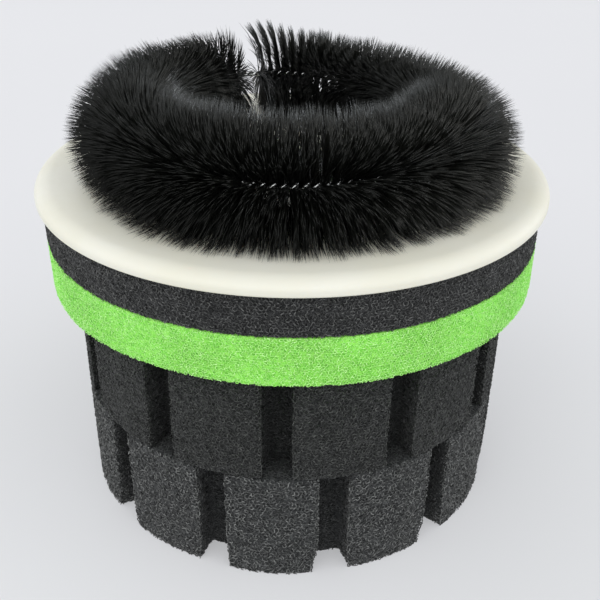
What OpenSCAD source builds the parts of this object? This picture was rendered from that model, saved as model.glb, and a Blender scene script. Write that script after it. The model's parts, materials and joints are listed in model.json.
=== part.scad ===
// Media stack of a round pond filter: two toothed foam rings, a green and a black flat foam ring,
// a white cover plate and a bristle brush bent into a ring. Every piece lifts off the one below it.
// Millimetres, +Z up. The origin is at the centre of the face that the stack stands on.

/* [Centre hole] */
// Diameter of the hole through every ring, for the filter's centre pipe
pipe_d = 64; // [40:1:70]

/* [Toothed foam rings] */
// Outer diameter of both toothed rings
toothed_d = 186; // [160:1:200]
// Height of each toothed ring
toothed_h = 50; // [25:1:60]
// Number of slots round each ring
slots = 12; // [8:1:16]
// Width of a slot
slot_w = 11.5; // [6:0.5:16]
// Depth of a slot, from the rim inwards
slot_depth = 11.5; // [5:0.5:20]
// Turn of the lower ring, from a slot that faces the front
lower_turn = 10.5; // [-15:0.5:15]
// Turn of the upper ring, about half a slot pitch from the lower one
upper_turn = -3; // [-15:0.5:15]

/* [Flat foam rings] */
// Outer diameter of the green and the black ring
flat_d = 205; // [180:1:210]
// Height of the green ring
green_h = 19.5; // [10:0.5:30]
// Height of the black ring
black_h = 16.5; // [10:0.5:30]

/* [Cover plate] */
// Outer diameter of the plate
plate_d = 210; // [190:1:230]
// Thickness of the plate
plate_t = 6; // [5:0.5:8]
// Rounding of the plate's outer edges
plate_edge_r = 2.4; // [0.5:0.1:2.4]

/* [Brush ring] */
// Diameter of the circle that the twisted wire follows
wire_ring_d = 129; // [120:1:140]
// Reach of the bristles from the wire
bristle_l = 26.5; // [20:0.5:28]
// Height of the wire above the plate, less than the reach because the lowest bristles bend
wire_h = 15.5; // [8:0.5:20]
// Angle of the gap between the brush's two ends
gap_angle = 9; // [6:0.5:20]
// Where the gap is, from the back towards the left
gap_turn = 19.5; // [0:0.5:90]
// Diameter of each of the two twisted wires
wire_d = 1.2; // [0.8:0.1:1.6]
// Full twists of the wire pair round the ring
twists = 54; // [40:1:60]
// How far the wire springs up on both sides of the gap
end_rise = 4.5; // [0:0.5:6]

/* [Hidden] */
$fn = 120;

// Levels of the stack, from the face that it stands on.
upper_z = toothed_h;
green_z = upper_z + toothed_h;
black_z = green_z + green_h;
plate_z = black_z + black_h;
plate_top = plate_z + plate_t;
wire_z = plate_top + wire_h;

// Polar angle of the middle of the gap, from +X.
gap_at = 90 + gap_turn;
// Overlap that lets a cutter pass through a face.
cut = 1;
// Hair's breadth between each piece's top face and the piece that rests on it.
seat = 0.05;

// The twisted pair: each wire winds round the common line, just clear of the other.
wire_lay_r = wire_d / 2 + 0.02;
wire_sides = 6;
rings_per_twist = 8;
wire_rings = twists * rings_per_twist;
// The pair runs across the gap and ends inside the bristles, this far past the gap's middle.
wire_tuck = gap_angle / 2 + 4;
// Space between the start and the end of the pair, hidden in the bristles.
wire_ends_gap = 2;
// The rise fades out this far from the gap.
rise_span = 90;

// A foam ring with a straight centre hole.
module ring(d, h) {
    difference() {
        cylinder(d = d, h = h);
        translate([0, 0, -cut]) cylinder(d = pipe_d, h = h + 2 * cut);
    }
}

// A foam ring with straight slots cut in from its rim, the first one facing the front.
module toothed_ring() {
    difference() {
        ring(toothed_d, toothed_h - seat);
        for (i = [0 : slots - 1])
            rotate([0, 0, i * 360 / slots])
                translate([-slot_w / 2, -toothed_d / 2 - cut, -cut])
                    cube([slot_w, slot_depth + cut, toothed_h + 2 * cut]);
    }
}

module toothed_foam_lower() {
    color("#3b3e3d") rotate([0, 0, lower_turn]) toothed_ring();
}

module toothed_foam_upper() {
    color("#303332") translate([0, 0, upper_z]) rotate([0, 0, upper_turn]) toothed_ring();
}

module green_foam_ring() {
    color("#7fd053") translate([0, 0, green_z]) ring(flat_d, green_h - seat);
}

module black_foam_ring() {
    color("#353738") translate([0, 0, black_z]) ring(flat_d, black_h - seat);
}

// Half section of the plate: a flat bar with a rounded outer end.
module plate_section() {
    inner = pipe_d / 2;
    outer = plate_d / 2;
    translate([inner, 0]) square([outer - plate_edge_r - inner, plate_t]);
    translate([inner, plate_edge_r]) square([outer - inner, plate_t - 2 * plate_edge_r]);
    for (y = [plate_edge_r, plate_t - plate_edge_r])
        translate([outer - plate_edge_r, y]) circle(r = plate_edge_r, $fn = 48);
}

module cover_plate() {
    color("#efeee2") translate([0, 0, plate_z]) rotate_extrude() plate_section();
}

// The space that the bristles fill: a round tube bent into a C and flat where it rests on the plate.
module brush_bristles() {
    color("#141615") translate([0, 0, wire_z])
        rotate([0, 0, gap_at + gap_angle / 2])
            rotate_extrude(angle = 360 - gap_angle)
                intersection() {
                    translate([wire_ring_d / 2, 0]) circle(r = bristle_l);
                    translate([0, seat - wire_h]) square([wire_ring_d, wire_h + bristle_l]);
                }
}

// Height of the pair's common line at polar angle a: level, with a smooth rise round the gap.
function from_gap(a) = abs((a - gap_at + 540) % 360 - 180);
function line_rise(a) =
    from_gap(a) < rise_span ? end_rise * pow(cos(90 * from_gap(a) / rise_span), 2) : 0;
function line_point(a) =
    [wire_ring_d / 2 * cos(a), wire_ring_d / 2 * sin(a), wire_z + line_rise(a)];

// Centre of one wire at polar angle a, at its own phase of the twist.
function lay_angle(a, phase) = twists * a + phase;
function wire_side(a, phase) =
    let (t = lay_angle(a, phase)) [cos(t) * cos(a), cos(t) * sin(a), sin(t)];
function wire_point(a, phase) = line_point(a) + wire_lay_r * wire_side(a, phase);

// Direction of one wire at polar angle a.
function unit(v) = v / norm(v);
function wire_dir(a, phase) = unit(wire_point(a + 0.1, phase) - wire_point(a - 0.1, phase));

// One ring of the wire's surface, square to its direction.
function wire_ring(a, phase) =
    let (
        centre = wire_point(a, phase),
        across = unit(cross(wire_dir(a, phase), wire_side(a, phase))),
        side = cross(across, wire_dir(a, phase))
    )
    [for (j = [0 : wire_sides - 1])
        let (t = j * 360 / wire_sides)
            centre + wire_d / 2 * (cos(t) * side + sin(t) * across)];

// One wire: a swept tube that goes once round, closed at both ends.
module twisted_wire(phase) {
    start = gap_at + wire_tuck;
    sweep = 360 - wire_ends_gap;
    n = wire_sides;
    last = wire_rings * n;
    points = [for (i = [0 : wire_rings]) each wire_ring(start + sweep * i / wire_rings, phase)];
    walls = [for (i = [0 : wire_rings - 1], j = [0 : n - 1])
        let (k = (j + 1) % n) each [
            [i * n + j, (i + 1) * n + j, (i + 1) * n + k],
            [i * n + j, (i + 1) * n + k, i * n + k]
        ]];
    caps = [[for (j = [0 : n - 1]) j], [for (j = [n - 1 : -1 : 0]) last + j]];
    polyhedron(points, concat(walls, caps), convexity = 20);
}

module brush_wire_a() {
    color("#c9ccc8") twisted_wire(0);
}

module brush_wire_b() {
    color("#c9ccc8") twisted_wire(180);
}

toothed_foam_lower();
toothed_foam_upper();
green_foam_ring();
black_foam_ring();
cover_plate();
brush_bristles();
brush_wire_a();
brush_wire_b();
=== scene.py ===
"""Looks for the pond filter media: foam rings, cover plate and brush ring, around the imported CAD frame.

Lengths are in metres. Angles are in degrees round the stack from +X, unless a comment says otherwise."""
import json
import math

import bmesh
import bpy
import numpy as np
from mathutils import Matrix, Vector
from mathutils.geometry import delaunay_2d_cdt

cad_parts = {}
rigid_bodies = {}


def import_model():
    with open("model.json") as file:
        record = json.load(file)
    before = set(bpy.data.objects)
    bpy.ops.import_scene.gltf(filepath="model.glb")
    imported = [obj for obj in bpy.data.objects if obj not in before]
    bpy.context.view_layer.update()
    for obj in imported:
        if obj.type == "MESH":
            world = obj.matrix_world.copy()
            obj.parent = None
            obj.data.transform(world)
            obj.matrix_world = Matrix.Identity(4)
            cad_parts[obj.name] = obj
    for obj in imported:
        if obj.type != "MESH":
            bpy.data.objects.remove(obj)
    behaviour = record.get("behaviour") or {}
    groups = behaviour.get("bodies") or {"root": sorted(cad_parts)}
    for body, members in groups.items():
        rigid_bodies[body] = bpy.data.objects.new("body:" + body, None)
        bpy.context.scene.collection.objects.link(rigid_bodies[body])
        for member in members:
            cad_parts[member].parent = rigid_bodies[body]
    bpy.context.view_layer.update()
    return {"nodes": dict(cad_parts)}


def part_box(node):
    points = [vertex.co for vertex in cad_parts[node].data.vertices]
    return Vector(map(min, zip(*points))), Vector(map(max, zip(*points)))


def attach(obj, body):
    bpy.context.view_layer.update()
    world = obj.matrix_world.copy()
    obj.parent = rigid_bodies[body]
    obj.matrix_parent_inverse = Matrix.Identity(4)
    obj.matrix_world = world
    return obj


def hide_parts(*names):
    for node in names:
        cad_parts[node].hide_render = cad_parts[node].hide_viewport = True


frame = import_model()

MM = 0.001
FRONT = -90.0
TINY = 1e-9

# The toothed rings' slots, as in the CAD model. A turn is how far a ring's first slot is from the front.
SLOTS = 12
SLOT_W = 11.5 * MM
SLOT_DEPTH = 11.5 * MM
LOWER_TURN = 10.5
UPPER_TURN = -3.0
TOOTHED_R = 93 * MM
FLAT_R = 102.5 * MM

# The brush ring, as in the CAD model.
BRISTLE_L = 26.5 * MM
GAP_AT = 109.5
GAP_ANGLE = 9.0
WIRE_TUCK = GAP_ANGLE / 2 + 4.0
WIRE_ENDS_GAP = 2.0
TWISTS = 54
WIRE_D = 1.2 * MM
END_RISE = 4.5 * MM
RISE_SPAN = 90.0

# The brush ring as it has been worn.
BRISTLES = 32000
BRISTLE_R = 0.19 * MM
LOCK_SIZE = 4.0 * MM
CORNER_AT = 98.0  # from the gap to the worn left front corner
PARTED_AT = 274.0  # where the front bristles are parted over the wire
PART_TILT = 30.0  # how far up from outwards the parting faces

# The foam's skin stops this far inside the top and bottom of its CAD solid.
FACE_GAP = 0.02 * MM

FLOOR_HALF = 40.0


def node_radius(node):
    """Outer radius of a round CAD node."""
    low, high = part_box(node)
    return (high.x - low.x) / 2


PLATE_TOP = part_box("cover_plate")[1].z
PLATE_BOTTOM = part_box("cover_plate")[0].z
PLATE_R = 105 * MM
PIPE_R = 32 * MM
WIRE_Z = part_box("brush_bristles")[1].z - BRISTLE_L
WIRE_RING_R = node_radius("brush_bristles") - BRISTLE_L


# ---------------------------------------------------------------- noise

def hashed(cells, seed):
    """A number from 0 to 1 for each row of whole numbers."""
    c = cells.astype(np.int64)
    n = c[..., 0] * 73856093 ^ c[..., 1] * 19349663 ^ c[..., 2] * 83492791 ^ (seed * 2654435761)
    n = (n ^ (n >> 15)) * 2246822519 & 0xFFFFFFFF
    n = (n ^ (n >> 13)) * 3266489917 & 0xFFFFFFFF
    largest = 0xFFFFFF
    return ((n ^ (n >> 16)) & largest) / float(largest)


def smooth_noise(points, size, seed):
    """Smooth noise from -1 to 1, with features about size across."""
    p = points / size
    base = np.floor(p)
    f = p - base
    f = f * f * (3 - 2 * f)
    total = np.zeros(len(p))
    for dx in (0, 1):
        for dy in (0, 1):
            for dz in (0, 1):
                corner = hashed(base + (dx, dy, dz), seed)
                weight = (f[:, 0] if dx else 1 - f[:, 0]) * (f[:, 1] if dy else 1 - f[:, 1])
                total += corner * weight * (f[:, 2] if dz else 1 - f[:, 2])
    return total * 2 - 1


def nearest_seed(points, size, seed):
    """The nearest of some scattered seeds, one to a cell of a grid of this size, and the distance to it."""
    p = points / size
    base = np.floor(p)
    nearest = np.full(len(p), np.inf)
    place = np.zeros_like(p)
    for dx in (-1, 0, 1):
        for dy in (-1, 0, 1):
            for dz in (-1, 0, 1):
                cell = base + (dx, dy, dz)
                centre = cell + np.stack([hashed(cell, seed + k) for k in range(3)], -1)
                distance = np.linalg.norm(centre - p, axis=1)
                closer = distance < nearest
                nearest[closer] = distance[closer]
                place[closer] = centre[closer]
    return place * size, nearest * size


def smoothstep(low, high, x):
    """0 below low and 1 above high, with a smooth rise between them. A low above high makes it a fall."""
    t = np.clip((x - low) / (high - low), 0, 1)
    return t * t * (3 - 2 * t)


# ---------------------------------------------------------------- meshes

def new_object(name, mesh):
    obj = bpy.data.objects.new(name, mesh)
    bpy.context.scene.collection.objects.link(obj)
    return obj


def mesh_from_arrays(name, points, faces, smooth=True):
    """A mesh from an array of points and an array of faces with equal numbers of corners."""
    mesh = bpy.data.meshes.new(name)
    corners = faces.shape[1]
    mesh.vertices.add(len(points))
    mesh.vertices.foreach_set("co", np.asarray(points, np.float32).ravel())
    mesh.loops.add(faces.size)
    mesh.loops.foreach_set("vertex_index", faces.astype(np.int32).ravel())
    mesh.polygons.add(len(faces))
    mesh.polygons.foreach_set("loop_start", np.arange(0, faces.size, corners, dtype=np.int32))
    mesh.polygons.foreach_set("use_smooth", np.full(len(faces), smooth))
    mesh.update(calc_edges=True)
    mesh.validate()
    return mesh


def evaluated_mesh(obj):
    """The object's mesh with its modifiers applied, as a new mesh."""
    depsgraph = bpy.context.evaluated_depsgraph_get()
    return bpy.data.meshes.new_from_object(obj.evaluated_get(depsgraph))


def get_points(mesh):
    co = np.zeros(len(mesh.vertices) * 3, np.float32)
    mesh.vertices.foreach_get("co", co)
    return co.reshape(-1, 3).astype(float)


def get_normals(mesh):
    no = np.zeros(len(mesh.vertices) * 3, np.float32)
    mesh.vertices.foreach_get("normal", no)
    return no.reshape(-1, 3).astype(float)


def swept_tube(path, across, radius, sides):
    """Points and quads of a tube along path, with across pointing out of its side at each point."""
    along = np.gradient(path, axis=0)
    along /= np.linalg.norm(along, axis=1)[:, None]
    second = np.cross(along, across)
    second /= np.linalg.norm(second, axis=1)[:, None]
    first = np.cross(second, along)
    turn = np.arange(sides) * 2 * math.pi / sides
    ring = (np.cos(turn)[None, :, None] * first[:, None] + np.sin(turn)[None, :, None] * second[:, None])
    points = (path[:, None] + radius * ring).reshape(-1, 3)
    i = np.arange(len(path) - 1)[:, None] * sides
    j = np.arange(sides)[None, :]
    k = (j + 1) % sides
    quads = np.stack([i + j, i + k, i + sides + k, i + sides + j], -1).reshape(-1, 4)
    return points, quads


# ---------------------------------------------------------------- materials

class Nodes:
    """Small helper for building a node tree."""

    def __init__(self, name):
        self.material = bpy.data.materials.new(name)
        self.material.use_nodes = True
        self.tree = self.material.node_tree
        self.tree.nodes.clear()
        self.shader = self.add("ShaderNodeBsdfPrincipled")
        output = self.add("ShaderNodeOutputMaterial")
        self.link(self.shader.outputs["BSDF"], output.inputs["Surface"])
        self.place = self.add("ShaderNodeTexCoord").outputs["Object"]

    def add(self, kind, **settings):
        node = self.tree.nodes.new(kind)
        for key, value in settings.items():
            setattr(node, key, value)
        return node

    def link(self, out, into):
        self.tree.links.new(out, into)

    def noise(self, scale, detail=2.0, roughness=0.5, place=None):
        node = self.add("ShaderNodeTexNoise")
        node.inputs["Scale"].default_value = scale
        node.inputs["Detail"].default_value = detail
        node.inputs["Roughness"].default_value = roughness
        self.link(place or self.place, node.inputs["Vector"])
        return node.outputs["Fac"]

    def cells(self, scale, feature="F1", place=None):
        node = self.add("ShaderNodeTexVoronoi", feature=feature)
        node.inputs["Scale"].default_value = scale
        self.link(place or self.place, node.inputs["Vector"])
        return node.outputs["Distance"]

    def range(self, value, low, high, to_low=0.0, to_high=1.0):
        node = self.add("ShaderNodeMapRange", interpolation_type="SMOOTHSTEP")
        limits = {"From Min": low, "From Max": high, "To Min": to_low, "To Max": to_high}
        for socket, number in limits.items():
            node.inputs[socket].default_value = number
        self.link(value, node.inputs["Value"])
        return node.outputs["Result"]

    def math(self, operation, a, b):
        node = self.add("ShaderNodeMath", operation=operation)
        for socket, value in zip(node.inputs, (a, b)):
            if isinstance(value, (int, float)):
                socket.default_value = value
            else:
                self.link(value, socket)
        return node.outputs["Value"]

    def mix(self, factor, a, b):
        node = self.add("ShaderNodeMix", data_type="RGBA")
        self.link(factor, node.inputs[0])
        for socket, value in ((node.inputs[6], a), (node.inputs[7], b)):
            if isinstance(value, tuple):
                socket.default_value = (*value, 1.0)
            else:
                self.link(value, socket)
        return node.outputs[2]

    def warp(self, scale, amount):
        """The place, pushed about by noise."""
        node = self.add("ShaderNodeTexNoise")
        node.inputs["Scale"].default_value = scale
        self.link(self.place, node.inputs["Vector"])
        push = self.add("ShaderNodeVectorMath", operation="MULTIPLY_ADD")
        self.link(node.outputs["Color"], push.inputs[0])
        push.inputs[1].default_value = (amount,) * 3
        self.link(self.place, push.inputs[2])
        return push.outputs["Vector"]

    def bump(self, height, strength, distance):
        node = self.add("ShaderNodeBump")
        node.inputs["Strength"].default_value = strength
        node.inputs["Distance"].default_value = distance
        self.link(height, node.inputs["Height"])
        self.link(node.outputs["Normal"], self.shader.inputs["Normal"])

    def colour(self, out):
        self.link(out, self.shader.inputs["Base Color"])

    def roughness(self, out):
        self.link(out, self.shader.inputs["Roughness"])


def foam_material(name, pore, dark, mid, light, depth):
    """Open-cell foam cut across: bright struts round dark pores, with a dimmer layer of struts behind. The
    bright struts are partly painted highlight, and the dark pores and the dimmer struts behind are painted
    shade.
    """
    n = Nodes(name)
    place = n.warp(0.5 / pore, pore * 0.55)
    struts = n.range(n.cells(1 / pore, "DISTANCE_TO_EDGE", place), 0.015, 0.17, 1.0, 0.0)
    broken = n.range(n.noise(0.8 / pore, 2.0), 0.38, 0.62)
    behind = n.range(n.cells(0.62 / pore, "F1", place), 0.25, 0.72)
    top = n.math("MULTIPLY", struts, n.math("ADD", n.math("MULTIPLY", broken, 0.75), 0.25))
    patch = n.range(n.noise(1 / (26 * MM), 3.0), 0.3, 0.7, 0.86, 1.12)
    # Painted shade in the pores and the struts behind, painted highlight on the struts on top.
    base = n.mix(behind, dark, mid)
    colour = n.mix(top, base, light)
    shade = n.add("ShaderNodeMix", data_type="RGBA", blend_type="MULTIPLY")
    shade.inputs[0].default_value = 1.0
    n.link(colour, shade.inputs[6])
    n.link(patch, shade.inputs[7])
    # Painted shade: in the slots the colour is drawn 60 percent of the way to the dark colour.
    plate_press_and_slot_shade = n.add("ShaderNodeAttribute", attribute_name="shade").outputs["Fac"]
    n.colour(n.mix(n.math("MULTIPLY", plate_press_and_slot_shade, 0.6), shade.outputs[2], dark))
    height = n.math("ADD", n.math("MULTIPLY", top, 0.7), n.math("MULTIPLY", behind, 0.5))
    n.bump(height, 0.9, depth)
    n.roughness(n.range(top, 0.0, 1.0, 0.95, 0.6))
    n.shader.inputs["Specular IOR Level"].default_value = 0.35
    n.shader.inputs["Sheen Weight"].default_value = 0.12
    return n.material


def strut_material(name, dark, light):
    """The polymer of the foam's struts: each strut has its own tone, and its facets glint."""
    n = Nodes(name)
    tone = n.add("ShaderNodeAttribute", attribute_name="tone").outputs["Fac"]
    patch = n.range(n.noise(1 / (0.7 * MM), 2.0), 0.35, 0.65, 0.7, 1.0)
    n.colour(n.mix(n.math("MULTIPLY", tone, patch), dark, light))
    n.roughness(n.range(n.noise(1 / (2 * MM), 1.0), 0.3, 0.7, 0.4, 0.65))
    n.shader.inputs["Specular IOR Level"].default_value = 0.5
    return n.material


def plate_material():
    """Moulded white plastic: faint warm clouding, fine scuffs and a satin skin."""
    n = Nodes("white_plastic")
    cloud = n.range(n.noise(1 / (45 * MM), 3.0), 0.3, 0.7)
    n.colour(n.mix(cloud, (0.735, 0.722, 0.60), (0.765, 0.756, 0.655)))
    scuffs = n.noise(1 / (2.2 * MM), 4.0, 0.65)
    n.roughness(n.range(scuffs, 0.3, 0.7, 0.38, 0.55))
    n.bump(scuffs, 0.12, 0.1 * MM)
    n.shader.inputs["Specular IOR Level"].default_value = 0.5
    n.shader.inputs["Subsurface Weight"].default_value = 0.08
    n.shader.inputs["Subsurface Radius"].default_value = (1.0, 0.8, 0.6)
    n.shader.inputs["Subsurface Scale"].default_value = 2 * MM
    return n.material


def bristle_material():
    """Black nylon filament: a satin skin, a shade greyer from strand to strand."""
    n = Nodes("bristle")
    tone = n.range(n.noise(1 / (1.1 * MM), 2.0), 0.35, 0.7)
    n.colour(n.mix(tone, (0.004, 0.0045, 0.0038), (0.012, 0.013, 0.0105)))
    n.roughness(n.range(n.noise(1 / (6 * MM), 1.0), 0.3, 0.7, 0.34, 0.5))
    n.shader.inputs["Specular IOR Level"].default_value = 0.25
    return n.material


def floor_material():
    """A pale painted table top, which glows a little so that it stays even from near to far."""
    n = Nodes("floor_paint")
    n.colour(n.mix(n.noise(3.0, 2.0), (0.42, 0.42, 0.43), (0.44, 0.44, 0.445)))
    n.shader.inputs["Emission Color"].default_value = (0.97, 0.98, 1.0, 1.0)
    n.shader.inputs["Emission Strength"].default_value = 0.33
    n.shader.inputs["Roughness"].default_value = 0.9
    return n.material


# ---------------------------------------------------------------- foam rings

def polar_frame(points):
    """Unit vectors outwards and round the ring at each point."""
    reach = np.maximum(np.hypot(points[:, 0], points[:, 1]), TINY)
    out = np.stack([points[:, 0] / reach, points[:, 1] / reach, np.zeros(len(points))], -1)
    return out, np.stack([-out[:, 1], out[:, 0], np.zeros(len(points))], -1)


def slot_place(points, turn):
    """Each point's sideways distance from its nearest slot's middle plane, and that slot's number."""
    angle = np.degrees(np.arctan2(points[:, 1], points[:, 0])) - FRONT - turn
    pitch = 360 / SLOTS
    number = np.round(angle / pitch)
    reach = np.hypot(points[:, 0], points[:, 1])
    return reach * np.sin(np.radians(angle - number * pitch)), np.mod(number, SLOTS)


def in_slot(points, turn):
    """1 at the walls and floor of a slot, 0 on the rest of a toothed ring: where the foam gets its painted
    shade.
    """
    sideways, _ = slot_place(points, turn)
    reach = np.hypot(points[:, 0], points[:, 1])
    across = 1 - smoothstep(SLOT_W / 2 + 0.2 * MM, SLOT_W / 2 + 1.2 * MM, np.abs(sideways))
    deep = smoothstep(0.6 * MM, 3.5 * MM, TOOTHED_R - reach)
    return across * deep * smoothstep(SLOT_DEPTH + 2.5 * MM, SLOT_DEPTH + 1.0 * MM, TOOTHED_R - reach)


def worn_slots(points, turn, seed, flare_size, low, high):
    """Soft foam at the slots: each wall leans its own way, and the lower ends of the slots flare open."""
    sideways, number = slot_place(points, turn)
    out, round_ring = polar_frame(points)
    reach = np.hypot(points[:, 0], points[:, 1])
    near_rim = smoothstep(0.0, SLOT_DEPTH, reach - (TOOTHED_R - SLOT_DEPTH))
    at_wall = np.exp(-((np.abs(sideways) - SLOT_W / 2) / (6 * MM)) ** 2)
    wall = np.stack([number, np.sign(sideways), np.zeros(len(points))], -1)
    flare = flare_size * hashed(wall, seed) * np.exp(-((points[:, 2] - low) / (9 * MM)) ** 2)
    lean = 0.8 * MM * (hashed(wall, seed + 7) - 0.5) * (points[:, 2] - low) / (high - low)
    move = np.sign(sideways) * near_rim * at_wall * (flare + lean)
    pull_in = -near_rim * at_wall * 0.35 * flare
    return points + round_ring * move[:, None] + out * pull_in[:, None]


class Foam:
    """One foam ring: where it lies, how coarse it is and how its shape departs from the CAD solid."""

    def __init__(self, node, radius, cell, seed, turn=None, flare=0.0):
        low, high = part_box(node)
        self.node = node
        self.radius = radius
        self.cell = cell
        self.seed = seed
        self.low = low.z
        self.high = high.z
        self.turn = turn
        self.flare = flare

    def softened(self, points):
        """The die-cut shape's own departures: leaning and flaring slots, and a rim that waves a little."""
        if self.turn is not None:
            points = worn_slots(points, self.turn, self.seed, self.flare, self.low, self.high)
        out, round_ring = polar_frame(points)
        rim = smoothstep(PIPE_R, self.radius, np.hypot(points[:, 0], points[:, 1]))
        points = points + out * (rim * 0.45 * MM * smooth_noise(points, 34 * MM, 91))[:, None]
        return points + round_ring * (rim * 0.3 * MM * smooth_noise(points, 22 * MM, 92))[:, None]

    def shade(self, points):
        """How much painted shade the foam gets: 1 in the slots, whose walls and floor lie in shade, and 0
        elsewhere.
        """
        if self.turn is None:
            return np.zeros(len(points))
        return in_slot(points, self.turn)

    def outline(self):
        """Plan points and outward normals along the outer wall, closely spaced."""
        if self.turn is None:
            turn = np.linspace(0, 2 * math.pi, 1441)
            normal = np.stack([np.cos(turn), np.sin(turn)], -1)
            return self.radius * normal, normal
        steps = 24
        half = SLOT_W / 2
        mouth = math.sqrt(self.radius ** 2 - half ** 2)
        floor = self.radius - SLOT_DEPTH
        to_mouth = math.asin(half / self.radius)
        inwards = np.linspace(mouth, floor, steps)
        across = np.linspace(-half, half, steps)
        arc = np.linspace(to_mouth, 2 * math.pi / SLOTS - to_mouth, 60)
        tooth = np.stack([np.cos(arc), np.sin(arc)], -1)
        place = np.concatenate([
            np.stack([inwards, np.full(steps, -half)], -1),
            np.stack([np.full(steps, floor), across], -1),
            np.stack([inwards[::-1], np.full(steps, half)], -1),
            self.radius * tooth])
        facing = [np.tile(way, (steps, 1)) for way in ((0.0, 1.0), (1.0, 0.0), (0.0, -1.0))]
        normal = np.concatenate([*facing, tooth])
        places, normals = [], []
        for i in range(SLOTS):
            a = math.radians(FRONT + self.turn + 360 * i / SLOTS)
            spin = np.array([[math.cos(a), math.sin(a)], [-math.sin(a), math.cos(a)]])
            places.append(place @ spin)
            normals.append(normal @ spin)
        places.append(places[0][:1])
        normals.append(normals[0][:1])
        return np.concatenate(places), np.concatenate(normals)


def cell_walls(length, width, cell, rng):
    """The edges between cells round scattered seeds: two arrays of flat points with a depth from -1 to 0.

    The strip is length by width, and its net joins up with itself end to end. Its rows of seeds run past
    both sides, so that the cells there are whole."""
    row_pitch = 0.866 * cell
    spare_rows = 4
    scatter = 0.36
    columns = round(length / cell)
    rows = round(width / row_pitch) + spare_rows
    row, column = np.mgrid[0:rows, 0:columns]
    along = (column + 0.5 * (row % 2)) * length / columns
    across = (row - 1.5) * width / (rows - spare_rows)
    seeds = np.stack([along, across], -1).reshape(-1, 2)
    seeds = seeds + rng.uniform(-scatter, scatter, (rows * columns, 2)) * cell
    margin = 3 * cell
    first, last = seeds[seeds[:, 0] < margin], seeds[seeds[:, 0] > length - margin]
    seeds = np.concatenate([seeds, first + (length, 0), last - (length, 0)])
    triangles = np.array(delaunay_2d_cdt([Vector(p / cell) for p in seeds], [], [], 0, 1e-6)[2])
    corner = np.concatenate([seeds[triangles].mean(1), rng.uniform(-1, 0, (len(triangles), 1))], 1)
    sides = np.sort(np.concatenate([triangles[:, [0, 1]], triangles[:, [1, 2]], triangles[:, [2, 0]]]), 1)
    key = sides[:, 0] * len(seeds) + sides[:, 1]
    owner = np.tile(np.arange(len(triangles)), 3)
    order = np.argsort(key, kind="stable")
    same = key[order][1:] == key[order][:-1]
    one, two = corner[owner[order][:-1][same]], corner[owner[order][1:][same]]
    middle = (one + two) / 2
    inside = (middle[:, 0] >= 0) & (middle[:, 0] < length) & (middle[:, 1] > 0) & (middle[:, 1] < width)
    one, two = one[inside], two[inside]
    for end in (one, two):
        end[:, 1] = np.clip(end[:, 1], 0, width)
    return one, two


def strut_mesh(name, one, two, radius, tone, rng):
    """Three-sided struts from each point of one to its partner in two, closed at both ends."""
    along = two - one
    along /= np.maximum(np.linalg.norm(along, axis=1), TINY)[:, None]
    helper = rng.normal(size=along.shape)
    first = np.cross(along, helper)
    first /= np.maximum(np.linalg.norm(first, axis=1), TINY)[:, None]
    second = np.cross(along, first)
    turn = np.arange(3) * 2 * math.pi / 3
    ring = np.cos(turn)[None, :, None] * first[:, None] + np.sin(turn)[None, :, None] * second[:, None]
    ring *= radius[:, None, None]
    points = np.concatenate([one[:, None] + ring, two[:, None] + ring], 1).reshape(-1, 3)
    sides = [(0, 1, 4), (0, 4, 3), (1, 2, 5), (1, 5, 4), (2, 0, 3), (2, 3, 5)]
    pattern = np.array(sides + [(0, 2, 1), (3, 4, 5)])
    faces = (np.arange(len(one)) * 6)[:, None, None] + pattern
    mesh = mesh_from_arrays(name, points, faces.reshape(-1, 3), smooth=False)
    shown = mesh.attributes.new("tone", "FLOAT", "POINT")
    shown.data.foreach_set("value", np.repeat(tone, 6).astype(np.float32))
    return mesh


def wall_struts(foam, name, parts, depth, thickness, material, body):
    """The foam's open cells along its outer wall, as a net of struts in several pieces."""
    rng = np.random.default_rng(foam.seed)
    plan, normal = foam.outline()
    run = np.concatenate([[0], np.cumsum(np.linalg.norm(np.diff(plan, axis=0), axis=1))])
    edge_gap = 0.15 * MM
    proud = 0.12 * MM
    ends = []
    for flat in cell_walls(run[-1], foam.high - foam.low - 2 * edge_gap, foam.cell, rng):
        s = np.mod(flat[:, 0], run[-1])
        inset = depth * flat[:, 2] + proud
        x, y = (np.interp(s, run, plan[:, k]) + np.interp(s, run, normal[:, k]) * inset for k in (0, 1))
        ends.append(foam.softened(np.stack([x, y, foam.low + edge_gap + flat[:, 1]], -1)))
    one, two = ends
    short = np.linalg.norm(two - one, axis=1) < 2.2 * foam.cell
    shade = foam.shade((one + two) / 2)
    # In the slots the net has fewer open cells, and their tone is darkened there as painted shade.
    keep = short & (rng.uniform(size=len(one)) < 0.9 - 0.45 * shade)
    one, two, shade = one[keep], two[keep], shade[keep]
    tone = rng.uniform(size=len(one)) ** 1.6 * (1 - 0.75 * shade)
    radius = thickness * rng.uniform(0.75, 1.2, len(one))
    angle = np.mod(np.degrees(np.arctan2(one[:, 1], one[:, 0])) + 360, 360)
    for i in range(parts):
        part = (angle >= 360 * i / parts) & (angle < 360 * (i + 1) / parts)
        label = f"{name}_cells_{i + 1}"
        struts = new_object(label, strut_mesh(label, one[part], two[part], radius[part], tone[part], rng))
        finish_piece(struts, material, body, foam.node)


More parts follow.
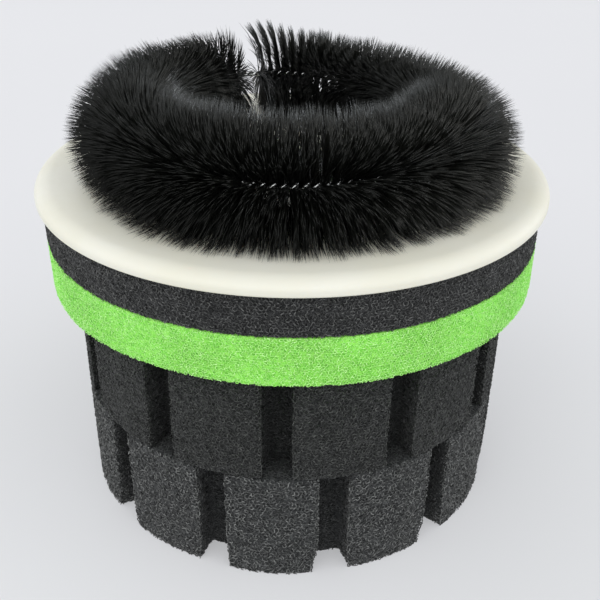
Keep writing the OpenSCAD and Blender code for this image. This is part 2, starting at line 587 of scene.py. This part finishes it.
def foam_core(foam, name, voxel, rough, inset):
    """The foam's body: the CAD shape remeshed, its edges softened, its faces pitted by pores."""
    copy = new_object(name + "_base", frame["nodes"][foam.node].data.copy())
    remesh = copy.modifiers.new("remesh", "REMESH")
    remesh.mode = "VOXEL"
    remesh.voxel_size = voxel
    smooth = copy.modifiers.new("smooth", "SMOOTH")
    smooth.factor = 0.5
    smooth.iterations = 1
    mesh = evaluated_mesh(copy)
    bpy.data.objects.remove(copy)
    mesh.materials.clear()
    points = get_points(mesh)
    normals = get_normals(mesh)
    # The slots' painted shade, kept on the mesh for the material.
    shade = mesh.attributes.new("shade", "FLOAT", "POINT")
    shade.data.foreach_set("value", foam.shade(points).astype(np.float32))
    reach = np.hypot(points[:, 0], points[:, 1])
    outer = smoothstep(PIPE_R + 5 * MM, PIPE_R + 15 * MM, reach) * (np.abs(normals[:, 2]) < 0.6)
    points = foam.softened(points)
    _, to_seed = nearest_seed(points, foam.cell, foam.seed + 2)
    pits = 1 - smoothstep(0.15 * foam.cell, 0.75 * foam.cell, to_seed)
    grain = hashed(np.round(points / (0.05 * MM)), foam.seed + 3) - 0.5
    points += normals * (rough * (0.25 - pits) + 0.35 * rough * grain - inset * outer)[:, None]
    points[:, 2] = np.clip(points[:, 2], foam.low + FACE_GAP, foam.high - FACE_GAP)
    mesh.vertices.foreach_set("co", points.astype(np.float32).ravel())
    mesh.polygons.foreach_set("use_smooth", np.full(len(mesh.polygons), True))
    mesh.update()
    return new_object(name, mesh)


def finish_piece(obj, material, body, node):
    """Gives a piece its material and body, and hides the CAD node it stands for."""
    obj.data.materials.append(material)
    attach(obj, body)
    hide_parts(node)


def build_foam():
    grey_struts = strut_material(
        "coarse_foam_struts", dark=(0.013, 0.014, 0.0135), light=(0.20, 0.205, 0.195))
    dark_struts = strut_material(
        "coarse_foam_struts_dark", dark=(0.005, 0.006, 0.0055), light=(0.075, 0.079, 0.071))
    green_struts = strut_material("green_foam_struts", dark=(0.30, 0.78, 0.11), light=(0.62, 1.0, 0.40))
    black_struts = strut_material(
        "black_foam_struts", dark=(0.007, 0.0078, 0.0073), light=(0.125, 0.128, 0.121))
    grey_skin = foam_material(
        "coarse_foam", pore=1.5 * MM, depth=0.5 * MM,
        dark=(0.006, 0.007, 0.007), mid=(0.018, 0.020, 0.020), light=(0.060, 0.064, 0.062))
    dark_skin = foam_material(
        "coarse_foam_upper", pore=1.3 * MM, depth=0.4 * MM,
        dark=(0.003, 0.0036, 0.0033), mid=(0.009, 0.010, 0.0095), light=(0.030, 0.033, 0.030))
    green_skin = foam_material(
        "green_foam", pore=0.9 * MM, depth=0.25 * MM,
        dark=(0.16, 0.52, 0.05), mid=(0.30, 0.78, 0.10), light=(0.42, 0.92, 0.20))
    black_skin = foam_material(
        "black_foam", pore=1.2 * MM, depth=0.4 * MM,
        dark=(0.004, 0.0045, 0.0045), mid=(0.011, 0.012, 0.012), light=(0.040, 0.042, 0.041))
    build_ring(
        Foam("toothed_foam_lower", TOOTHED_R, cell=1.6 * MM, seed=11, turn=LOWER_TURN, flare=2.2 * MM),
        "foam_toothed_lower", "lower_foam", grey_skin, grey_struts,
        voxel=1.05 * MM, parts=3, depth=0.75 * MM, thickness=0.23 * MM)
    build_ring(
        Foam("toothed_foam_upper", TOOTHED_R, cell=1.5 * MM, seed=23, turn=UPPER_TURN, flare=0.4 * MM),
        "foam_toothed_upper", "upper_foam", dark_skin, dark_struts,
        voxel=1.05 * MM, parts=3, depth=0.65 * MM, thickness=0.20 * MM)
    build_ring(
        Foam("green_foam_ring", FLAT_R, cell=1.15 * MM, seed=37),
        "foam_green", "green_foam", green_skin, green_struts,
        voxel=1.0 * MM, parts=2, depth=0.4 * MM, thickness=0.15 * MM)
    build_ring(
        Foam("black_foam_ring", FLAT_R, cell=1.35 * MM, seed=41),
        "foam_black", "black_foam", black_skin, black_struts,
        voxel=1.0 * MM, parts=2, depth=0.6 * MM, thickness=0.19 * MM)


def build_ring(foam, name, body, skin, struts, voxel, parts, depth, thickness):
    """A foam ring's solid core and the net of open cells round it, which reaches depth into the foam."""
    core = foam_core(foam, name, voxel, rough=0.4 * depth, inset=0.5 * depth)
    finish_piece(core, skin, body, foam.node)
    wall_struts(foam, name, parts, depth, thickness, struts, body)


# ---------------------------------------------------------------- cover plate

def quarter(centre, size, start, steps):
    """A quarter of an ellipse as (radius, height) points, clockwise from the angle start."""
    turn = np.radians(np.linspace(start, start - 90, steps))
    return np.stack([centre[0] + size[0] * np.cos(turn), centre[1] + size[1] * np.sin(turn)], -1)


def level(first, last, height, steps):
    """A level line as (radius, height) points."""
    return np.stack([np.linspace(first, last, steps), np.full(steps, height)], -1)


def build_plate():
    """The plate as a lathe: a flat disc whose top rolls over into a bright rounded rim."""
    steps = 10
    around = 320
    top_roll, top_drop = 7.0 * MM, 4.0 * MM
    low_roll = 1.0 * MM
    hole_roll = 0.8 * MM
    hole_flat = PIPE_R + 3 * MM
    rim_flat = 2 * MM
    section = np.concatenate([
        quarter((PIPE_R + hole_roll, PLATE_TOP - hole_roll), (hole_roll, hole_roll), 180, steps),
        level(hole_flat, PLATE_R - top_roll - rim_flat, PLATE_TOP, 14),
        quarter((PLATE_R - top_roll, PLATE_TOP - top_drop), (top_roll, top_drop), 90, 2 * steps),
        quarter((PLATE_R - low_roll, PLATE_BOTTOM + low_roll), (low_roll, low_roll), 0, steps),
        level(PLATE_R - low_roll - rim_flat, hole_flat, PLATE_BOTTOM, 12),
        quarter((PIPE_R + hole_roll, PLATE_BOTTOM + hole_roll), (hole_roll, hole_roll), -90, steps)])
    turn = np.arange(around) * 2 * math.pi / around
    n = len(section)
    points = np.stack([
        section[None, :, 0] * np.cos(turn)[:, None],
        section[None, :, 0] * np.sin(turn)[:, None],
        np.repeat(section[None, :, 1], around, 0)], -1).reshape(-1, 3)
    i = np.arange(around)[:, None] * n
    i_next = ((np.arange(around) + 1) % around)[:, None] * n
    j = np.arange(n)[None, :]
    k = (j + 1) % n
    quads = np.stack([i + j, i + k, i_next + k, i_next + j], -1).reshape(-1, 4)
    plate = new_object("plate_white", mesh_from_arrays("plate_white", points, quads))
    finish_piece(plate, plate_material(), "plate", "cover_plate")


# ---------------------------------------------------------------- brush

def from_gap(angle):
    """Degrees round the ring from the middle of the gap, positive towards the front along the left side."""
    return np.mod(angle - GAP_AT + 180, 360) - 180


def wire_line(angle):
    """The wire pair's common line at a polar angle in degrees: level, rising near the gap."""
    away = np.abs(from_gap(angle))
    rise = np.where(away < RISE_SPAN, END_RISE * np.cos(np.radians(90 * away / RISE_SPAN)) ** 2, 0.0)
    a = np.radians(angle)
    return np.stack([WIRE_RING_R * np.cos(a), WIRE_RING_R * np.sin(a), WIRE_Z + rise], -1)


def build_wires():
    rings_per_twist, sides = 22, 10
    clearance = 0.02 * MM
    lay_r = WIRE_D / 2 + clearance
    # The wires wear the plain grey that the CAD frame brings with it, not a detailed steel.
    material = bpy.data.materials["steel_wire"]
    start = GAP_AT + WIRE_TUCK
    angle = np.linspace(start, start + 360 - WIRE_ENDS_GAP, TWISTS * rings_per_twist)
    for letter, phase in (("a", 0.0), ("b", 180.0)):
        a, t = np.radians(angle), np.radians(TWISTS * angle + phase)
        side = np.stack([np.cos(t) * np.cos(a), np.cos(t) * np.sin(a), np.sin(t)], -1)
        points, quads = swept_tube(wire_line(angle) + lay_r * side, side, WIRE_D / 2, sides)
        wire = new_object("wire_" + letter, mesh_from_arrays("wire_" + letter, points, quads))
        close_ends(wire.data)
        finish_piece(wire, material, "brush", "brush_wire_" + letter)


def close_ends(mesh):
    """Fills the open ends of a tube."""
    bm = bmesh.new()
    bm.from_mesh(mesh)
    bmesh.ops.holes_fill(bm, edges=[e for e in bm.edges if e.is_boundary], sides=0)
    bm.to_mesh(mesh)
    bm.free()


def bristle_lay(angle, out, rng):
    """Which way each bristle points, in degrees up from outwards, and its turn of the helix.

    A bristle stands square to the line between the two wires, so the bristles wind round in a helix."""
    count = len(angle)
    side = rng.integers(0, 2, count)
    lay = TWISTS * angle + 90 + side * 180.0
    turn = np.stack([np.floor((lay + 90) / 360), side, np.zeros(count)], -1)
    # The lower ones have been pushed about by the plate, which closes the slits between the turns. At the
    # back they are less worn.
    front = at_front(out)
    fresh = smoothstep(0.75, 0.95, out[:, 1])
    pushed = np.clip(-np.sin(np.radians(lay)) + 0.1, 0, 1) * (1 - 0.6 * fresh)
    spread = 5.5 + 3.5 * front + 17.0 * pushed
    lay = lay + spread * rng.normal(0, 1, count)
    loose = 0.10 - 0.09 * (1 - front) * smoothstep(-0.2, 0.4, np.sin(np.radians(lay)))
    stray = rng.uniform(size=count) < loose
    lay[stray] += rng.uniform(-80, 80, stray.sum())
    # At the front the brush is parted a little, which lets the wire show.
    beside_part = (lay - PART_TILT + 180) % 360 - 180
    parted = np.exp(-((angle - PARTED_AT) / 17.0) ** 2)
    lay += 8.0 * parted * np.sign(beside_part) * np.exp(-(beside_part / 14.0) ** 2)
    return lay, turn


def at_front(out):
    """1 on the front of the ring, falling to 0 towards the back."""
    return smoothstep(-0.3, 0.5, -out[:, 1])


def bristle_paths(count, rng):
    """Centre lines of the bristles, an array of count paths with the same number of points each."""
    half_gap = GAP_ANGLE / 2
    angle = GAP_AT + rng.uniform(half_gap, 360 - half_gap, count)
    away = from_gap(angle)
    a = np.radians(angle)
    out = np.stack([np.cos(a), np.sin(a), np.zeros(count)], -1)
    ahead = np.stack([-np.sin(a), np.cos(a), np.zeros(count)], -1)
    up = np.array([0.0, 0.0, 1.0])
    lay, turn = bristle_lay(angle, out, rng)
    t = np.radians(lay)
    outwards, upwards = np.cos(t), np.sin(t)
    square = outwards[:, None] * out + upwards[:, None] * up
    base = wire_line(angle)
    skin = base + square * BRISTLE_L
    front = at_front(out)
    upper = smoothstep(-0.2, 0.7, upwards)
    # Each turn of the helix leans its own way as one tuft, and noise over the skin ruffles it.
    lean = 0.09 * (hashed(turn, 55) - 0.5) + 0.05 * smooth_noise(base, 13 * MM, 51)
    lean += 0.06 * smooth_noise(skin, 6 * MM, 52) * (1 - upper)
    lean += (0.055 - 0.041 * upper * (1 - front)) * rng.normal(0, 1, count)
    roll = 0.06 * smooth_noise(skin, 12 * MM, 53) + rng.normal(0, 0.035, count)
    # Left of the gap the bristles that point up and outwards lie well back. Right of it they stand up and
    # their tips curl over the gap.
    beside_left = np.where(away > 0, 1 - smoothstep(20.0, 58.0, away), 0.0)
    beside_right = np.where(away < 0, np.exp(-(away / 16.0) ** 2), 0.0)
    end_tuft = np.exp(-((np.abs(away) - half_gap) / 3.0) ** 2)
    lean *= 1 - 0.6 * end_tuft
    laid_back = beside_left * upper * (0.11 + 0.63 * smoothstep(-0.5, 0.1, outwards))
    lean += laid_back - 0.05 * beside_right
    around = -upwards[:, None] * out + outwards[:, None] * up
    aim = square + lean[:, None] * ahead + roll[:, None] * around
    aim /= np.linalg.norm(aim, axis=1)[:, None]
    # The tips of the lower ones gather into locks.
    tip = base + aim * BRISTLE_L
    lock, _ = nearest_seed(tip, LOCK_SIZE, 61)
    gather = rng.uniform(0.0, 0.4, count) * (1 - 0.8 * upper) * (1 - end_tuft)
    aim = tip + (lock - tip) * gather[:, None] - base
    aim /= np.linalg.norm(aim, axis=1)[:, None]
    ruffle = rng.normal(0, 0.022, count) + 0.03 * smooth_noise(skin, 6 * MM, 54)
    length = BRISTLE_L * (bristle_reach(away, out, outwards, upwards, beside_left, turn) + ruffle)
    # Each bristle bows a little.
    steps = np.linspace(0, 1, 5)
    curl = 0.34 * beside_right * upper
    bow = BRISTLE_L * ((0.025 * rng.normal(0, 1, count) + curl)[:, None] * ahead - 0.03 * up)
    start = 0.4 * WIRE_D
    paths = base[:, None] + aim[:, None] * (start + (length[:, None] - start) * steps)[..., None]
    paths += bow[:, None] * (steps ** 2.5)[None, :, None]
    return bent_on_plate(paths, aim, out)


def bristle_reach(away, out, outwards, upwards, beside_left, turn):
    """Each bristle's length as a share of BRISTLE_L, which gives the brush its section.

    It isn't quite round: low on top, wide, and widest where it has been pressed on the plate. It stands
    taller at the front than along the back."""
    upper = smoothstep(-0.2, 0.7, upwards)
    above = np.clip(upwards, 0, 1)
    low_back = smoothstep(12.0, 30.0, -away) * smoothstep(-0.2, 0.4, out[:, 1])
    reach = 1 + 0.075 * np.abs(outwards) - (0.10 + 0.13 * low_back) * above * (1 - beside_left)
    reach += 0.17 * at_front(out) * above * smoothstep(-0.5, 0.6, -outwards)
    # How far a lower, outward bristle is pressed on the plate.
    plate_press_and_slot_shade = np.clip(-upwards, 0, 1) * np.clip(outwards + 0.3, 0, 1)
    reach += 0.20 * plate_press_and_slot_shade * smoothstep(-0.1, 0.9, -out[:, 1])
    # The last tufts left of the gap are worn a little short, and so is the left front corner.
    end_left = np.where(away > 0, np.exp(-((away - GAP_ANGLE / 2) / 5.0) ** 2), 0.0)
    corner = np.exp(-((away - CORNER_AT) / 24.0) ** 2) * (1 - upper)
    reach -= 0.03 * end_left * upper + 0.12 * corner
    reach += 0.10 * (hashed(turn, 56) - 0.5)
    return reach


def bent_on_plate(paths, aim, out):
    """Keeps the bristles above the plate: what would go below it turns sideways, outwards or inwards."""
    soft = 1.3 * MM
    lowest = PLATE_TOP + 0.5 * MM
    lifted = lowest + soft * np.logaddexp(0, (paths[..., 2] - lowest) / soft)
    flat = aim * (1, 1, 0)
    sideways = np.where((flat * out).sum(1) >= 0, 1.0, -1.0)[:, None] * out * 0.6 + flat
    sideways /= np.linalg.norm(sideways, axis=1)[:, None]
    spare = np.maximum(lifted - paths[..., 2], 0)
    bent = paths.copy()
    bent[..., 2] = lifted
    bent += sideways[:, None] * (0.6 * spare)[..., None]
    return bent


def strands(paths, radius):
    """Points and triangles of a thin three-sided strand along each path, closed at its root and pointed."""
    count, n = paths.shape[:2]
    along = np.gradient(paths, axis=1)
    along /= np.linalg.norm(along, axis=2)[..., None]
    helper = np.where(np.abs(along[..., 2:3]) < 0.8, np.array([0, 0, 1.0]), np.array([1.0, 0, 0]))
    first = np.cross(along, helper)
    first /= np.linalg.norm(first, axis=2)[..., None]
    second = np.cross(along, first)
    turn = np.arange(3) * 2 * math.pi / 3
    width = radius * np.linspace(1.0, 0.75, n)
    ring = np.cos(turn)[:, None] * first[:, :, None] + np.sin(turn)[:, None] * second[:, :, None]
    rings = (paths[:, :, None] + width[None, :, None, None] * ring)[:, :-1].reshape(count, -1, 3)
    points = np.concatenate([rings, paths[:, -1:]], 1).reshape(-1, 3)
    pattern = [(0, 2, 1)]
    for i in range(n - 2):
        for j in range(3):
            a, b = 3 * i + j, 3 * i + (j + 1) % 3
            pattern += [(a, b, b + 3), (a, b + 3, a + 3)]
    tip, last = 3 * (n - 1), 3 * (n - 2)
    pattern += [(last + j, last + (j + 1) % 3, tip) for j in range(3)]
    faces = (np.arange(count) * (tip + 1))[:, None, None] + np.array(pattern)
    return points, faces.reshape(-1, 3)


def build_bristles():
    """The bristles, as one piece for each quarter of the ring."""
    paths = bristle_paths(BRISTLES, np.random.default_rng(7))
    material = bristle_material()
    where = np.degrees(np.arctan2(paths[:, 0, 1], paths[:, 0, 0])) % 360
    for quadrant, name in enumerate(("right_back", "left_back", "left_front", "right_front")):
        chosen = paths[(where >= 90 * quadrant) & (where < 90 * (quadrant + 1))]
        points, faces = strands(chosen, BRISTLE_R)
        bristles = new_object("bristles_" + name, mesh_from_arrays("bristles_" + name, points, faces))
        finish_piece(bristles, material, "brush", "brush_bristles")


# ---------------------------------------------------------------- stage

def area_light(name, place, target, size, power, colour):
    light = bpy.data.lights.new(name, "AREA")
    light.shape = "DISK"
    light.size = size
    light.energy = power
    light.color = colour
    obj = bpy.data.objects.new(name, light)
    bpy.context.scene.collection.objects.link(obj)
    obj.location = place
    direction = np.array(target) - np.array(place)
    obj.rotation_euler = look_rotation(direction).to_euler()
    return obj


def look_rotation(direction, roll=0.0):
    """Rotation of an object whose -Z looks along direction with +Y upwards, rolled about its own axis."""
    d = np.array(direction, float) / np.linalg.norm(direction)
    right = np.cross(d, (0, 0, 1))
    right /= np.linalg.norm(right)
    up = np.cross(right, d)
    matrix = Matrix((right, up, -d)).transposed()
    return matrix @ Matrix.Rotation(roll, 3, "Z")


def build_sky():
    """A soft white studio sky with three broad glows: front left, front right, and behind."""
    even_light = 0.50
    world = bpy.data.worlds.new("studio")
    world.use_nodes = True
    tree = world.node_tree
    background = tree.nodes["Background"]
    direction = tree.nodes.new("ShaderNodeTexCoord").outputs["Generated"]
    total = None
    glows = (
        ((-0.9, -0.5, 0.5), 0.45, 1.05),
        ((0.8, -0.5, 0.6), 0.40, 0.95),
        ((-0.45, 0.85, 0.5), 0.75, 0.8))
    for towards, edge, strength in glows:
        facing = tree.nodes.new("ShaderNodeVectorMath")
        facing.operation = "DOT_PRODUCT"
        facing.inputs[1].default_value = Vector(towards).normalized()
        tree.links.new(direction, facing.inputs[0])
        glow = tree.nodes.new("ShaderNodeMapRange")
        glow.interpolation_type = "SMOOTHSTEP"
        glow.inputs["From Min"].default_value = edge
        glow.inputs["To Max"].default_value = strength
        tree.links.new(facing.outputs["Value"], glow.inputs["Value"])
        add = tree.nodes.new("ShaderNodeMath")
        add.inputs[1].default_value = even_light
        if total:
            tree.links.new(total, add.inputs[1])
        tree.links.new(glow.outputs["Result"], add.inputs[0])
        total = add.outputs["Value"]
    tree.links.new(total, background.inputs["Strength"])
    background.inputs["Color"].default_value = (0.955, 0.965, 1.0, 1.0)
    bpy.context.scene.world = world


def lit_only(name, prefix):
    """A collection of the objects whose names start with prefix, for a lamp that lights nothing else."""
    collection = bpy.data.collections.new(name)
    for obj in bpy.context.scene.objects:
        if obj.name.startswith(prefix):
            collection.objects.link(obj)
    return collection


def build_stage():
    """The table, the sky and the lamps. Three of the lamps are only for the brush or for the plate."""
    brush_only = lit_only("brush_only", "bristles")
    plate_only = lit_only("plate_only", "plate_white")
    corners = FLOOR_HALF * np.array([(-1, -1, 0), (1, -1, 0), (1, 1, 0), (-1, 1, 0)], float)
    floor = new_object("floor", mesh_from_arrays("floor", corners, np.array([[0, 1, 2, 3]])))
    floor.data.materials.append(floor_material())
    build_sky()
    area_light("key", (-0.3, -1.1, 1.2), (0, 0, 0.1), size=1.2, power=3.0, colour=(1.0, 1.0, 0.98))
    sheen = area_light(
        "sheen", (-0.30, 0.48, 0.80), (-0.03, 0, 0.16), size=0.3, power=11.0, colour=(0.90, 0.95, 1.0))
    sheen.light_linking.receiver_collection = brush_only
    side = area_light(
        "side", (0.75, -0.20, 0.45), (0.07, 0, 0.14), size=0.5, power=5.0, colour=(1.0, 0.985, 0.93))
    side.light_linking.receiver_collection = brush_only
    rim = area_light(
        "rim", (0.80, 0.35, 0.45), (0.07, 0, 0.14), size=0.5, power=1.1, colour=(1.0, 0.99, 0.95))
    rim.light_linking.receiver_collection = plate_only
    bpy.context.scene.view_settings.view_transform = "Standard"


def build_camera():
    """The photograph's view: about 30 degrees down, from the front."""
    down, aside, roll = 29.95, 0.62, 0.73
    place = (0, -341.0 * MM, 271.8 * MM)
    data = bpy.data.cameras.new("camera")
    data.sensor_width = 36
    data.lens = 51.66
    data.clip_end = 50
    camera = bpy.data.objects.new("camera", data)
    bpy.context.scene.collection.objects.link(camera)
    pitch, yaw = math.radians(down), math.radians(aside)
    forward = (math.sin(yaw) * math.cos(pitch), math.cos(yaw) * math.cos(pitch), -math.sin(pitch))
    camera.location = place
    camera.rotation_euler = look_rotation(forward, math.radians(roll)).to_euler()
    bpy.context.scene.camera = camera


build_camera()
build_foam()
build_plate()
build_wires()
build_bristles()
build_stage()
